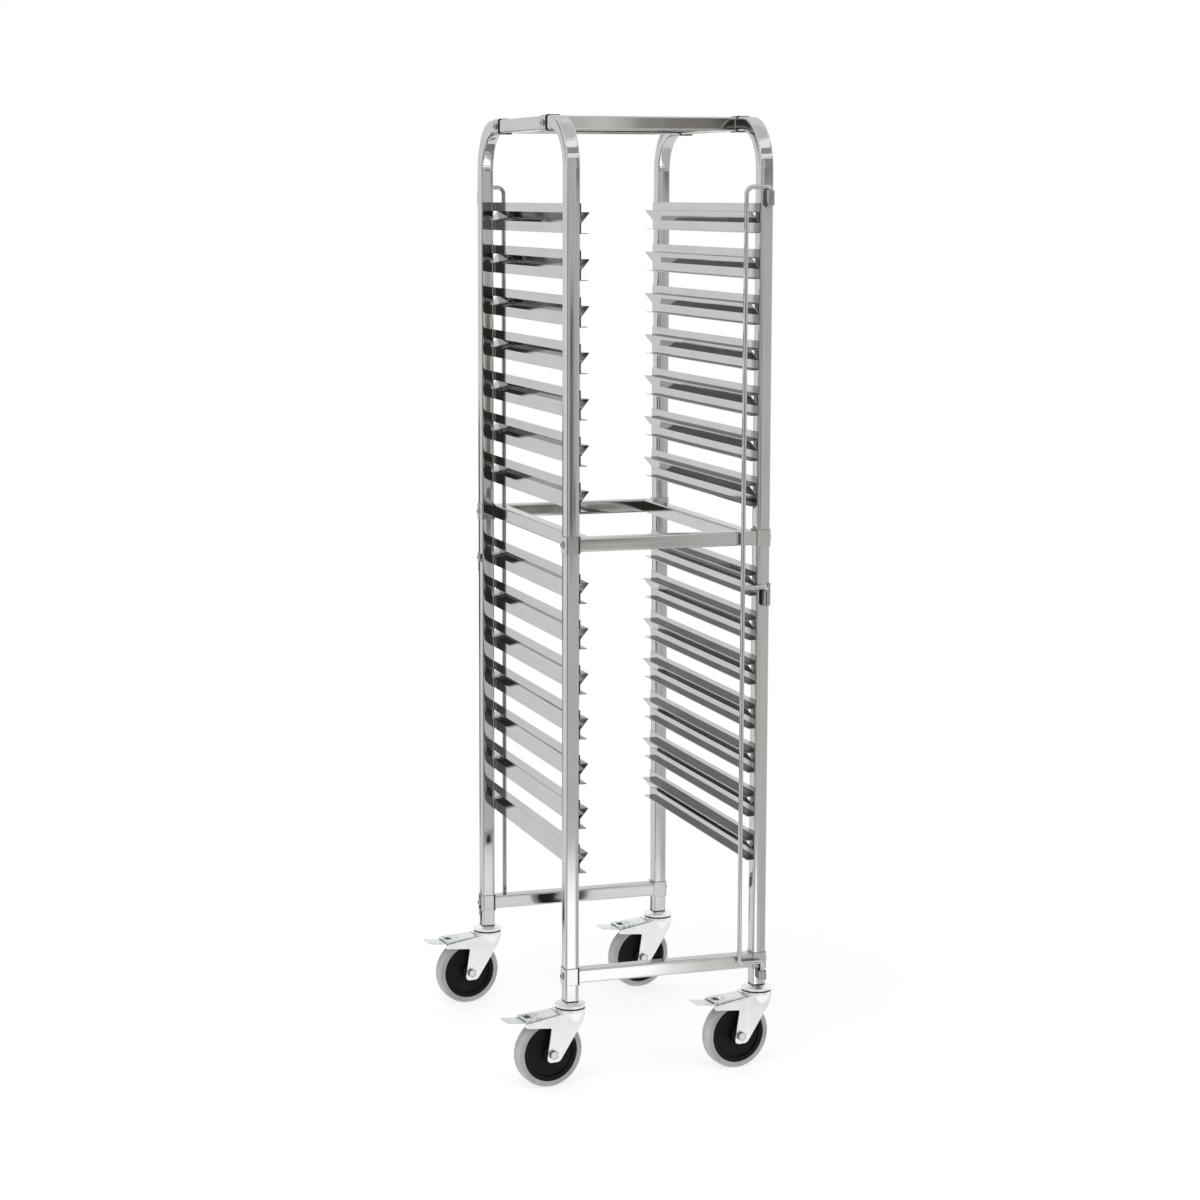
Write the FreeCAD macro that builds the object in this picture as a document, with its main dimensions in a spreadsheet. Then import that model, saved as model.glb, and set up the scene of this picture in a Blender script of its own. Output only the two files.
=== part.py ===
"""Tray trolley for gastronorm 1/1 trays: bolted frame of square stainless tube on four braked casters.

The frame stands on the floor at z = 0, its width along X, its depth along Y (front at -Y).
Sizes are in millimetres.
"""
import FreeCAD, Part
import math
import os

import Sketcher
from FreeCAD import Placement, Rotation, Vector

SIZES = {
    # Frame of bent square tube, measured over the posts and the hoops' tops
    "frame_width": 380.0,
    "frame_depth": 550.0,
    "frame_height": 1705.0,
    "tube_side": 25.0,
    "tube_wall": 1.2,
    "tube_corner": 3.0,
    "hoop_bend": 80.0,
    # Cross-bars: where their tubes' middles lie
    "top_bar_offset": 145.0,
    "mid_drop": 14.0,
    "bottom_bar_rise": 44.0,
    # Straps that clamp the cross-bars, and their dome-head screws
    "strap_width": 30.0,
    "strap_sheet": 2.0,
    "screw_diameter": 6.0,
    "screw_head": 13.0,
    "screw_dome": 4.5,
    "screw_tail": 6.0,
    "screw_clearance": 0.2,
    # Runners folded from sheet: each level's tray rests on the top of the ledge
    "head_room": 166.5,
    "lower_bay": 224.0,
    "runner_sheet": 1.2,
    "runner_flange": 15.0,
    "runner_ledge": 16.0,
    "runner_return": 19.0,
    "runner_web": 18.0,
    "runner_lip": 13.0,
    # Lock rods: round rod hinged on the posts' front and rear faces
    "rod_diameter": 8.0,
    "rod_standoff": 10.0,
    "rod_inset": 10.0,
    "rod_reach": 45.0,
    "rod_top_bend": 13.0,
    "rod_foot_bend": 7.0,
    "pin_bend": 6.0,
    "pin_tail": 3.0,
    "top_arm_rise": 43.0,
    "mid_arm_drop": 87.0,
    "running_fit": 0.05,
    "rest_gap": 0.3,
    # Eyes that carry the rods' pins
    "eye_diameter": 14.0,
    "eye_height": 26.0,
    "bottom_eye_height": 16.0,
    "eye_clearance": 1.0,
    "eye_tab": 1.5,
    "eye_tab_height": 16.0,
    "eye_tab_overlap": 4.0,
    # Plugs in the posts' feet
    "plug_flange": 2.0,
    "plug_insert": 24.0,
    "plug_clearance": 0.1,
    # Casters: wheel
    "wheel_diameter": 125.0,
    "tread_width": 26.0,
    "tread_depth": 11.0,
    "tread_shoulder": 6.0,
    "rim_inset": 1.5,
    "core_rim_depth": 8.0,
    "core_web": 18.0,
    "hub_diameter": 32.0,
    "hub_proud": 6.0,
    "trail": 44.0,
    # Casters: swivel head, from the wheel upwards
    "crown_clearance": 2.0,
    "crown_height": 10.5,
    "crown_rim": 5.0,
    "crown_skirt": 10.0,
    "seal_height": 2.8,
    "seal_inset": 1.5,
    "race_diameter": 55.0,
    "race_neck": 31.0,
    "race_height": 8.0,
    "race_rim": 4.0,
    "stud_diameter": 12.0,
    "stud_length": 22.0,
    "king_pin_diameter": 16.0,
    "king_head": 22.0,
    "king_head_height": 4.0,
    "king_round": 1.5,
    # Casters: fork, its heights measured down from the top of the crown, its insets from the tread's end
    "hub_gap": 1.0,
    "fork_sheet": 3.0,
    "leg_radius": 12.5,
    "leg_foot": 14.5,
    "shoulder_reach": 18.5,
    "shoulder_drop": 9.0,
    "waist_reach": 14.0,
    "waist_drop": 22.0,
    "fork_round": 10.0,
    "horn_inset": 9.5,
    "horn_root": 3.0,
    "horn_root_drop": 27.0,
    "horn_foot_drop": 21.5,
    "horn_tip_drop": 14.0,
    "horn_neck_reach": 6.0,
    "horn_neck_drop": 8.0,
    "horn_round": 3.0,
    "axle_diameter": 8.0,
    "axle_nut": 14.0,
    "axle_nut_height": 5.0,
    # Casters: brake lever, a channel with a pedal, and the pin it rocks on
    "brake_pin_diameter": 5.0,
    "brake_pin_inset": 22.5,
    "brake_pin_drop": 17.5,
    "lever_side_gap": 1.0,
    "lever_sheet": 2.0,
    "lever_heel_gap": 3.0,
    "lever_heel_drop": 4.5,
    "lever_heel_depth": 9.0,
    "lever_inset": 11.0,
    "lever_tip_drop": 7.5,
    "lever_tip_depth": 10.5,
    "lever_skirt": 5.0,
    "window_inset": 5.0,
    "window_length": 11.0,
    "window_width": 18.0,
    "window_round": 2.0,
    "pedal_overhang": 24.5,
    "pedal_width": 34.0,
    "pedal_root_drop": 10.5,
    "pedal_sag": 0.5,
    "pedal_lift": 4.0,
    "pedal_knee": 8.0,
    "pedal_round": 7.0,
}

UPPER_LEVELS = range(1, 8)
LOWER_LEVELS = range(9, 16)
SIDES = (-1, 1)
# The way the swivelling casters stand, in degrees about the upright
CASTER_TURN = 8


class Size:
    """A length: its value in millimetres and the expression on the sheet that gives it."""

    def __init__(self, value, text):
        self.value = value
        self.text = text

    def __add__(self, other):
        other = as_size(other)
        return Size(self.value + other.value, f"({self.text} + {other.text})")

    def __sub__(self, other):
        other = as_size(other)
        return Size(self.value - other.value, f"({self.text} - {other.text})")

    def __mul__(self, factor):
        return Size(self.value * factor, f"({self.text} * {factor})")

    def __truediv__(self, divisor):
        return Size(self.value / divisor, f"({self.text} / {divisor})")

    def __neg__(self):
        return self * -1

    __rmul__ = __mul__


def as_size(value):
    """A plain number as a Size."""
    return value if isinstance(value, Size) else Size(float(value), str(float(value)))


doc = FreeCAD.newDocument("TrayTrolley")
sheet = doc.addObject("Spreadsheet::Sheet", "Sizes")
for row, (alias, length) in enumerate(SIZES.items(), start=1):
    sheet.set(f"A{row}", alias)
    sheet.set(f"B{row}", str(length))
    sheet.setAlias(f"B{row}", alias)
doc.recompute()


def size(alias):
    """The Size of one cell of the sheet."""
    return Size(float(getattr(sheet, alias)), f"Sizes.{alias}")


def bind(thing, **properties):
    """Bind properties of a document object to sizes."""
    for name, value in properties.items():
        thing.setExpression(name, as_size(value).text)


def sketch_on(body, role, name, lift=None):
    """A sketch on one of the body's origin planes, raised along the plane's normal by lift."""
    plane = next(item for item in body.Origin.OriginFeatures if item.Role == role)
    sketch = body.newObject("Sketcher::SketchObject", name)
    sketch.AttachmentSupport = [(plane, "")]
    sketch.MapMode = "FlatFace"
    if lift is not None:
        sketch.setExpression("AttachmentOffset.Base.z", as_size(lift).text)
    return sketch


def constrain(sketch, kind, *where, length):
    """Add a dimension to a sketch and bind it to a size."""
    length = as_size(length)
    index = sketch.addConstraint(Sketcher.Constraint(kind, *where, length.value))
    name = f"dimension_{index}"
    sketch.renameConstraint(index, name)
    sketch.setExpression(f"Constraints.{name}", length.text)


def pin_point(sketch, geometry, end, x, y):
    """Set a point of the sketch at x, y from the sketch's origin."""
    constrain(sketch, "DistanceX", -1, 1, geometry, end, length=x)
    constrain(sketch, "DistanceY", -1, 1, geometry, end, length=y)


def rounded_corner(before, corner, after, radius):
    """Tangent points, centre and turn of an arc that rounds a corner between two neighbours."""
    to_before = (before - corner).normalize()
    to_after = (after - corner).normalize()
    half = to_before.getAngle(to_after) / 2
    setback = radius / math.tan(half)
    centre = corner + (to_before + to_after).normalize() * (radius / math.sin(half))
    turns_left = to_before.cross(to_after).z < 0
    return corner + to_before * setback, corner + to_after * setback, centre, turns_left


def outline(sketch, corners, closed=True):
    """Straight runs through corners (x, y) or (x, y, radius), each corner bound to its sizes."""
    corners = [tuple(as_size(item) for item in corner) for corner in corners]
    points = [Vector(corner[0].value, corner[1].value, 0) for corner in corners]
    count = len(corners)
    entries = list(points)
    exits = list(points)
    arcs = {}
    for i, corner in enumerate(corners):
        if len(corner) == 3:
            enter, leave, centre, left = rounded_corner(
                points[i - 1], points[i], points[(i + 1) % count], corner[2].value)
            entries[i] = enter
            exits[i] = leave
            first, last = (enter, leave) if left else (leave, enter)
            angles = [math.atan2(end.y - centre.y, end.x - centre.x) for end in (first, last)]
            circle = Part.Circle(centre, Vector(0, 0, 1), corner[2].value)
            arcs[i] = (sketch.addGeometry(Part.ArcOfCircle(circle, *angles), False), 1 if left else 2)
    runs = {}
    for i in range(count if closed else count - 1):
        run = Part.LineSegment(exits[i], entries[(i + 1) % count])
        runs[i] = sketch.addGeometry(run, False)
    for i, corner in enumerate(corners):
        before = runs.get((i - 1) % count)
        after = runs.get(i)
        if i in arcs:
            arc, arc_start = arcs[i]
            mark = sketch.addGeometry(Part.Point(points[i]), True)
            sketch.addConstraint(Sketcher.Constraint("Tangent", before, 2, arc, arc_start))
            sketch.addConstraint(Sketcher.Constraint("Tangent", arc, 3 - arc_start, after, 1))
            sketch.addConstraint(Sketcher.Constraint("PointOnObject", mark, 1, before))
            sketch.addConstraint(Sketcher.Constraint("PointOnObject", mark, 1, after))
            constrain(sketch, "Radius", arc, length=corner[2])
            pin_point(sketch, mark, 1, corner[0], corner[1])
            continue
        if before is not None and after is not None:
            sketch.addConstraint(Sketcher.Constraint("Coincident", before, 2, after, 1))
        geometry, end = (after, 1) if after is not None else (before, 2)
        pin_point(sketch, geometry, end, corner[0], corner[1])


def rectangle(sketch, x, y, width, height, radius=None):
    """A rectangle about x, y, with rounded corners where a radius is given."""
    rounding = () if radius is None else (radius,)
    left, right = as_size(x) - width / 2, as_size(x) + width / 2
    low, high = as_size(y) - height / 2, as_size(y) + height / 2
    outline(sketch, [(left, low, *rounding), (right, low, *rounding),
                     (right, high, *rounding), (left, high, *rounding)])


def disc(sketch, x, y, diameter):
    """A circle about x, y."""
    x, y, diameter = as_size(x), as_size(y), as_size(diameter)
    circle = Part.Circle(Vector(x.value, y.value, 0), Vector(0, 0, 1), diameter.value / 2)
    geometry = sketch.addGeometry(circle, False)
    pin_point(sketch, geometry, 3, x, y)
    constrain(sketch, "Diameter", geometry, length=diameter)


def new_body(name):
    """An empty body, the master of one kind of piece."""
    return doc.addObject("PartDesign::Body", name)


def pad(body, sketch, length, symmetric=False, reverse=False):
    """Extrude a sketch."""
    doc.recompute()
    feature = body.newObject("PartDesign::Pad", f"{sketch.Name}_pad")
    feature.Profile = sketch
    feature.SideType = "Symmetric" if symmetric else "One side"
    feature.Reversed = reverse
    bind(feature, Length=length)
    return feature


def cut_through(body, sketch):
    """Cut a sketch right through the body, both ways from the sketch."""
    doc.recompute()
    feature = body.newObject("PartDesign::Pocket", f"{sketch.Name}_cut")
    feature.Profile = sketch
    feature.Type = "ThroughAll"
    feature.SideType = "Symmetric"
    return feature


def cut_between(body, sketch, length):
    """Cut a sketch out of the body over a length that lies evenly about the sketch."""
    doc.recompute()
    feature = body.newObject("PartDesign::Pocket", f"{sketch.Name}_cut")
    feature.Profile = sketch
    feature.SideType = "Symmetric"
    bind(feature, Length=length)
    return feature


def revolve(body, sketch, axis):
    """Turn a sketch a full turn about one of its own axes."""
    doc.recompute()
    feature = body.newObject("PartDesign::Revolution", f"{sketch.Name}_turned")
    feature.Profile = sketch
    feature.ReferenceAxis = (sketch, [axis])
    feature.Angle = 360
    return feature


def sweep(body, section, path):
    """Carry a section along a path."""
    doc.recompute()
    feature = body.newObject("PartDesign::AdditivePipe", f"{path.Name}_swept")
    feature.Profile = section
    feature.Spine = path
    return feature


def node(label, *copies):
    """One named sub-part: copies (master, x, y, z, turn about Z, turn about X) of master pieces."""
    links = []
    for number, (master, x, y, z, turn, roll) in enumerate(copies, start=1):
        link = doc.addObject("App::Link", f"{label}_{number}")
        link.LinkedObject = master
        spin = Rotation(Vector(0, 0, 1), turn) * Rotation(Vector(1, 0, 0), roll)
        link.Placement = Placement(Vector(), spin)
        for axis, place in zip("xyz", (x, y, z)):
            link.setExpression(f"Placement.Base.{axis}", as_size(place).text)
        links.append(link)
    group = doc.addObject("Part::Compound", label)
    group.Label = label
    group.Links = links
    nodes.append(group)


nodes = []

# Heights of the casters, from the floor up to the foot of the post
wheel_radius = size("wheel_diameter") / 2
crown_foot = size("wheel_diameter") + size("crown_clearance")
crown_top = crown_foot + size("crown_height")
seal_foot = crown_top + size("rest_gap")
race_foot = seal_foot + size("seal_height")
race_top = race_foot + size("race_height")
post_foot = race_top + size("plug_flange")

# Places that several pieces of the frame share
tube_side = size("tube_side")
tube_half = tube_side / 2
post_x = size("frame_width") / 2 - tube_half
post_y = size("frame_depth") / 2 - tube_half
inner_x = size("frame_width") / 2 - tube_side
front_y = size("frame_depth") / 2
hoop_top = size("frame_height") - tube_half
bottom_bar_height = post_foot + size("bottom_bar_rise")
top_ledge = size("frame_height") - size("head_room")
low_ledge = bottom_bar_height + size("lower_bay")
level_pitch = (top_ledge - low_ledge) / (LOWER_LEVELS[-1] - UPPER_LEVELS[0])
mid_height = top_ledge - level_pitch * len(UPPER_LEVELS) - size("mid_drop")
top_bar_y = size("top_bar_offset")
strap_sheet = size("strap_sheet")
strap_width = size("strap_width")
screw_hole = size("screw_diameter") + 2 * size("screw_clearance")

# Places on the lock rods and their eyes
rod_standoff = size("rod_standoff")
pin_x = size("frame_width") / 2 - size("rod_inset")
pin_y = front_y + rod_standoff
top_arm = top_ledge + size("top_arm_rise")
mid_arm = mid_height - size("mid_arm_drop")
bottom_arm = bottom_bar_height
bend_foot = size("pin_bend") + size("rest_gap")
top_eye_foot = top_arm - bend_foot - size("eye_height")
mid_eye_foot = mid_arm - bend_foot - size("eye_height")
bottom_eye_foot = bottom_bar_height - strap_width / 2 - size("eye_clearance") - size("bottom_eye_height")
eye_tab_foot = size("eye_height") - size("eye_tab_overlap")
eye_bolt_rise = eye_tab_foot + size("eye_tab_height") / 2
eye_bolt_height = mid_eye_foot + eye_bolt_rise

# Places on the casters, measured from the swivel axis
race_radius = size("race_diameter") / 2
core_radius = wheel_radius - size("tread_depth")
trail = size("trail")
tread_end = -(trail + wheel_radius)
hub_width = size("tread_width") + 2 * size("hub_proud")
fork_gap = hub_width + 2 * size("hub_gap")
fork_width = fork_gap + 2 * size("fork_sheet")
running_fit = size("running_fit")
brake_x = tread_end + size("brake_pin_inset")
brake_z = crown_top - size("brake_pin_drop")


def tube_section(sketch, x, y):
    """The square tube's section: two squares with rounded corners, one inside the other."""
    wall = size("tube_wall")
    corner = size("tube_corner")
    rectangle(sketch, x, y, tube_side, tube_side, corner)
    bore = tube_side - 2 * wall
    rectangle(sketch, x, y, bore, bore, corner - wall)


def make_hoop():
    """One side hoop: a tube bent twice, drilled for the screws and for the middle eye's bolt."""
    body = new_body("hoop")
    path = sketch_on(body, "YZ_Plane", "hoop_path")
    bend = size("hoop_bend")
    outline(path, [(-post_y, post_foot), (-post_y, hoop_top, bend), (post_y, hoop_top, bend),
                   (post_y, post_foot)], closed=False)
    section = sketch_on(body, "XY_Plane", "hoop_section", post_foot)
    tube_section(section, 0, -post_y)
    sweep(body, section, path)
    holes = sketch_on(body, "YZ_Plane", "hoop_holes")
    for side in SIDES:
        disc(holes, side * top_bar_y, hoop_top, screw_hole)
        disc(holes, side * post_y, mid_height, screw_hole)
        disc(holes, side * post_y, bottom_bar_height, screw_hole)
    disc(holes, post_y, eye_bolt_height, screw_hole)
    cut_through(body, holes)
    return body


def make_cross_bar():
    """A cross-bar: a tube with a drilled plate welded on each end."""
    body = new_body("cross_bar")
    reach = inner_x - strap_sheet
    section = sketch_on(body, "YZ_Plane", "cross_bar_section")
    tube_section(section, 0, 0)
    pad(body, section, 2 * reach, symmetric=True)
    for side in SIDES:
        plate = sketch_on(body, "YZ_Plane", f"end_plate_{side + 2}", side * reach)
        rectangle(plate, 0, 0, tube_side, strap_width)
        disc(plate, 0, 0, screw_hole)
        pad(body, plate, strap_sheet, reverse=side < 0)
    return body


def make_side_bar():
    """A side tube of the mid frame, welded between its front and rear bars."""
    body = new_body("side_bar")
    section = sketch_on(body, "XZ_Plane", "side_bar_section")
    tube_section(section, 0, 0)
    pad(body, section, size("frame_depth") - 2 * tube_side, symmetric=True)
    return body


def make_strap():
    """A U strap bent round three sides of the tube, its web at -X."""
    body = new_body("strap")
    inside = size("tube_corner")
    outside = inside + strap_sheet
    wide = tube_half + strap_sheet
    bend = sketch_on(body, "XY_Plane", "strap_bend")
    outline(bend, [(tube_half, -wide), (tube_half, -tube_half), (-tube_half, -tube_half, inside),
                   (-tube_half, tube_half, inside), (tube_half, tube_half), (tube_half, wide),
                   (-wide, wide, outside), (-wide, -wide, outside)])
    pad(body, bend, strap_width, symmetric=True)
    hole = sketch_on(body, "YZ_Plane", "strap_hole")
    disc(hole, 0, 0, screw_hole)
    cut_through(body, hole)
    return body


def make_screw(name, grip):
    """A dome-head screw along X, its head at -X of the origin, reaching grip to +X."""
    body = new_body(name)
    shank = size("screw_diameter") / 2
    head = size("screw_head") / 2
    dome = size("screw_dome")
    half = sketch_on(body, "XZ_Plane", f"{name}_half")
    outline(half, [(-dome, 0), (grip, 0), (grip, shank), (0, shank), (0, head), (-dome, head, dome * 0.9)])
    revolve(body, half, "H_Axis")
    return body


def make_runner():
    """A runner: sheet folded to a flange, a ledge, a slanting return, a web and a lip."""
    thick = size("runner_sheet")
    nose = size("runner_ledge") - thick
    ledge = -thick
    knee = -size("runner_return")
    foot = knee - size("runner_web")
    fold = doc.addObject("Sketcher::SketchObject", "runner_fold")
    fold.Placement = Placement(Vector(), Rotation(Vector(1, 0, 0), 90))
    outline(fold, [(size("runner_lip"), foot), (0, foot), (0, knee), (nose, ledge), (0, ledge),
                   (0, size("runner_flange"))], closed=False)
    strip = doc.addObject("Part::Offset2D", "runner_strip")
    strip.Source = fold
    strip.Mode = "Skin"
    strip.Join = "Arc"
    strip.Fill = True
    bind(strip, Value=-thick)
    runner = doc.addObject("Part::Extrusion", "runner")
    runner.Base = strip
    runner.DirMode = "Normal"
    runner.Symmetric = True
    runner.Solid = True
    bind(runner, LengthFwd=size("frame_depth"))
    return runner


def make_lock_rod():
    """A lock rod about its pin axis: the long bar with an arm and a pin at top, middle and bottom."""
    body = new_body("lock_rod")
    reach = size("rod_reach")
    pin_bend = size("pin_bend")
    tail = size("pin_tail")
    bar = sketch_on(body, "XZ_Plane", "rod_path")
    outline(bar, [(0, top_eye_foot - tail), (0, top_arm, pin_bend), (-reach, top_arm, size("rod_top_bend")),
                  (-reach, bottom_arm, size("rod_foot_bend")), (0, bottom_arm, pin_bend),
                  (0, bottom_eye_foot - tail)], closed=False)
    section = sketch_on(body, "XY_Plane", "rod_section", top_eye_foot - tail)
    disc(section, 0, 0, size("rod_diameter"))
    sweep(body, section, bar)
    arm = sketch_on(body, "XZ_Plane", "mid_arm_path")
    outline(arm, [(0, mid_eye_foot - tail), (0, mid_arm, pin_bend), (-reach, mid_arm)], closed=False)
    arm_section = sketch_on(body, "XY_Plane", "mid_arm_section", mid_eye_foot - tail)
    disc(arm_section, 0, 0, size("rod_diameter"))
    sweep(body, arm_section, arm)
    return body


def make_eye(name, height):
    """An eye welded on a post's face at +Y, bored for a pin of the lock rod, foot at z = 0."""
    body = new_body(name)
    wide = size("eye_diameter") / 2
    plan = sketch_on(body, "XY_Plane", f"{name}_plan")
    nose = wide * 0.9
    outline(plan, [(-wide, rod_standoff), (-wide, -wide, nose), (wide, -wide, nose), (wide, rod_standoff)])
    disc(plan, 0, 0, size("rod_diameter") + 2 * size("running_fit"))
    pad(body, plan, height)
    return body


def make_mid_eye():
    """The middle eye: its tab, at the top, is bent round the post's edge and bolted to the outer face."""
    body = make_eye("mid_eye", size("eye_height"))
    face = size("rod_inset")
    tab = size("eye_tab")
    wide = size("eye_diameter") / 2
    bolt = rod_standoff + tube_half
    bend = sketch_on(body, "XY_Plane", "eye_tab_bend", eye_tab_foot)
    outline(bend, [(wide - tab, rod_standoff), (wide - tab, rod_standoff - tab),
                   (face + tab, rod_standoff - tab, tab), (face + tab, bolt + tube_half),
                   (face, bolt + tube_half), (face, rod_standoff)])
    pad(body, bend, size("eye_tab_height"))
    hole = sketch_on(body, "YZ_Plane", "eye_tab_hole", face)
    disc(hole, bolt, eye_bolt_rise, screw_hole)
    doc.recompute()
    cut_between(body, hole, 4 * tab)
    return body


def make_plug():
    """A plastic plug in a post's foot, bored for the caster's stud, its flange under the tube."""
    body = new_body("plug")
    flange = sketch_on(body, "XY_Plane", "plug_flange_plan", race_top)
    rectangle(flange, 0, 0, tube_side, tube_side, size("tube_corner"))
    pad(body, flange, size("plug_flange"))
    insert = sketch_on(body, "XY_Plane", "plug_insert_plan", post_foot)
    bore = tube_side - 2 * size("tube_wall") - 2 * size("plug_clearance")
    rectangle(insert, 0, 0, bore, bore, size("tube_corner") - size("tube_wall"))
    pad(body, insert, size("plug_insert"))
    hole = sketch_on(body, "XY_Plane", "plug_bore", post_foot)
    disc(hole, 0, 0, size("stud_diameter") + 2 * size("plug_clearance"))
    cut_through(body, hole)
    return body


def make_stem():
    """A caster's stem: stud, fixed race and king pin, riveted over under the fork's crown."""
    body = new_body("stem")
    stud = size("stud_diameter") / 2
    pin = size("king_pin_diameter") / 2
    head = size("king_head") / 2
    head_top = crown_foot - size("rest_gap")
    half = sketch_on(body, "XZ_Plane", "stem_half")
    head_foot = head_top - size("king_head_height")
    outline(half, [(0, head_foot), (head, head_foot, size("king_round")), (head, head_top), (pin, head_top),
                   (pin, race_foot), (race_radius, race_foot), (race_radius, race_foot + size("race_rim")),
                   (size("race_neck") / 2, race_top), (stud, race_top),
                   (stud, race_top + size("stud_length")), (0, race_top + size("stud_length"))])
    revolve(body, half, "V_Axis")
    return body


def make_seal():
    """A dust seal under the fixed race, round the king pin."""
    body = new_body("seal")
    half = sketch_on(body, "XZ_Plane", "seal_half")
    inside = size("king_pin_diameter") / 2 + running_fit
    outside = race_radius - size("seal_inset")
    outline(half, [(inside, seal_foot), (outside, seal_foot), (outside, race_foot), (inside, race_foot)])
    revolve(body, half, "V_Axis")
    return body


def make_fork():
    """A swivel fork pressed from sheet: crown with round shoulders, two legs to the axle, two brake horns."""
    body = new_body("fork")
    leg = size("leg_radius")
    leg_end = wheel_radius - size("leg_foot")
    bend = size("horn_round")
    root_x, root_z = -trail - size("horn_root"), crown_top - size("horn_root_drop")
    horn_x = tread_end + size("horn_inset")
    shoulder_z = crown_top - size("shoulder_drop")
    side = sketch_on(body, "XZ_Plane", "fork_side")
    outline(side, [(size("shoulder_reach"), crown_top), (size("shoulder_reach"), shoulder_z),
                   (size("waist_reach"), crown_top - size("waist_drop"), size("fork_round")),
                   (-trail + leg, leg_end, leg * 0.8), (-trail - leg, leg_end, leg * 0.6),
                   (root_x, root_z, bend), (horn_x, crown_top - size("horn_foot_drop"), bend),
                   (horn_x, crown_top - size("horn_tip_drop"), bend),
                   (-trail - size("horn_neck_reach"), crown_top - size("horn_neck_drop"), size("fork_round")),
                   (-race_radius, crown_top - size("crown_rim")), (-race_radius / 2, crown_top)])
    pad(body, side, fork_width, symmetric=True)
    crown = sketch_on(body, "XZ_Plane", "crown_half")
    skirt_foot = crown_foot - size("crown_skirt")
    outline(crown, [(0, skirt_foot), (fork_width / 2, skirt_foot),
                    (race_radius, crown_top - size("crown_rim")),
                    (race_radius, crown_top), (0, crown_top)])
    revolve(body, crown, "V_Axis")
    slot = sketch_on(body, "XZ_Plane", "wheel_slot")
    clear_x = race_radius + size("rest_gap")
    outline(slot, [(2 * horn_x, 0), (race_radius, 0), (race_radius, crown_foot), (-clear_x, crown_foot),
                   (-clear_x, 2 * crown_top), (2 * horn_x, 2 * crown_top)])
    cut_between(body, slot, fork_gap)
    king = sketch_on(body, "XY_Plane", "king_pin_hole", crown_foot)
    disc(king, 0, 0, size("king_pin_diameter") + 2 * running_fit)
    cut_through(body, king)
    bores = sketch_on(body, "XZ_Plane", "fork_bores")
    disc(bores, -trail, wheel_radius, size("axle_diameter") + 2 * running_fit)
    disc(bores, brake_x, brake_z, size("brake_pin_diameter") + 2 * running_fit)
    cut_through(body, bores)
    return body


def hexagon(sketch, across):
    """A hexagon about the origin, given across its flats."""
    flat = across / 2
    point = across / math.sqrt(3)
    outline(sketch, [(flat, -point / 2), (flat, point / 2), (0, point),
                     (-flat, point / 2), (-flat, -point / 2), (0, -point)])


def make_axle():
    """An axle bolt along Y with a hexagon head and nut outside the fork's legs."""
    body = new_body("axle")
    shank = sketch_on(body, "XZ_Plane", "axle_section")
    disc(shank, 0, 0, size("axle_diameter"))
    pad(body, shank, fork_width + 2 * size("axle_nut_height"), symmetric=True)
    for side in SIDES:
        nut = sketch_on(body, "XZ_Plane", f"axle_nut_{side + 2}", side * fork_width / 2)
        hexagon(nut, size("axle_nut"))
        pad(body, nut, size("axle_nut_height"), reverse=side < 0)
    return body


def make_core():
    """A wheel's core, turned about Y: hub, dished web and rim."""
    body = new_body("core")
    bore = size("axle_diameter") / 2 + running_fit
    hub = size("hub_diameter") / 2
    rim = core_radius - size("core_rim_depth")
    hub_half = hub_width / 2
    web_half = size("core_web") / 2
    rim_half = size("tread_width") / 2 - size("rim_inset")
    half = sketch_on(body, "YZ_Plane", "core_half")
    outline(half, [(-hub_half, bore), (hub_half, bore), (hub_half, hub), (web_half, hub), (web_half, rim),
                   (rim_half, rim), (rim_half, core_radius), (-rim_half, core_radius), (-rim_half, rim),
                   (-web_half, rim), (-web_half, hub), (-hub_half, hub)])
    revolve(body, half, "H_Axis")
    return body


def make_tyre():
    """A wheel's tread, turned about Y, with rounded shoulders."""
    body = new_body("tyre")
    wide = size("tread_width") / 2
    half = sketch_on(body, "YZ_Plane", "tyre_half")
    shoulder = size("tread_shoulder")
    outline(half, [(-wide, core_radius), (wide, core_radius), (wide, wheel_radius, shoulder),
                   (-wide, wheel_radius, shoulder)])
    revolve(body, half, "H_Axis")
    return body


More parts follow.
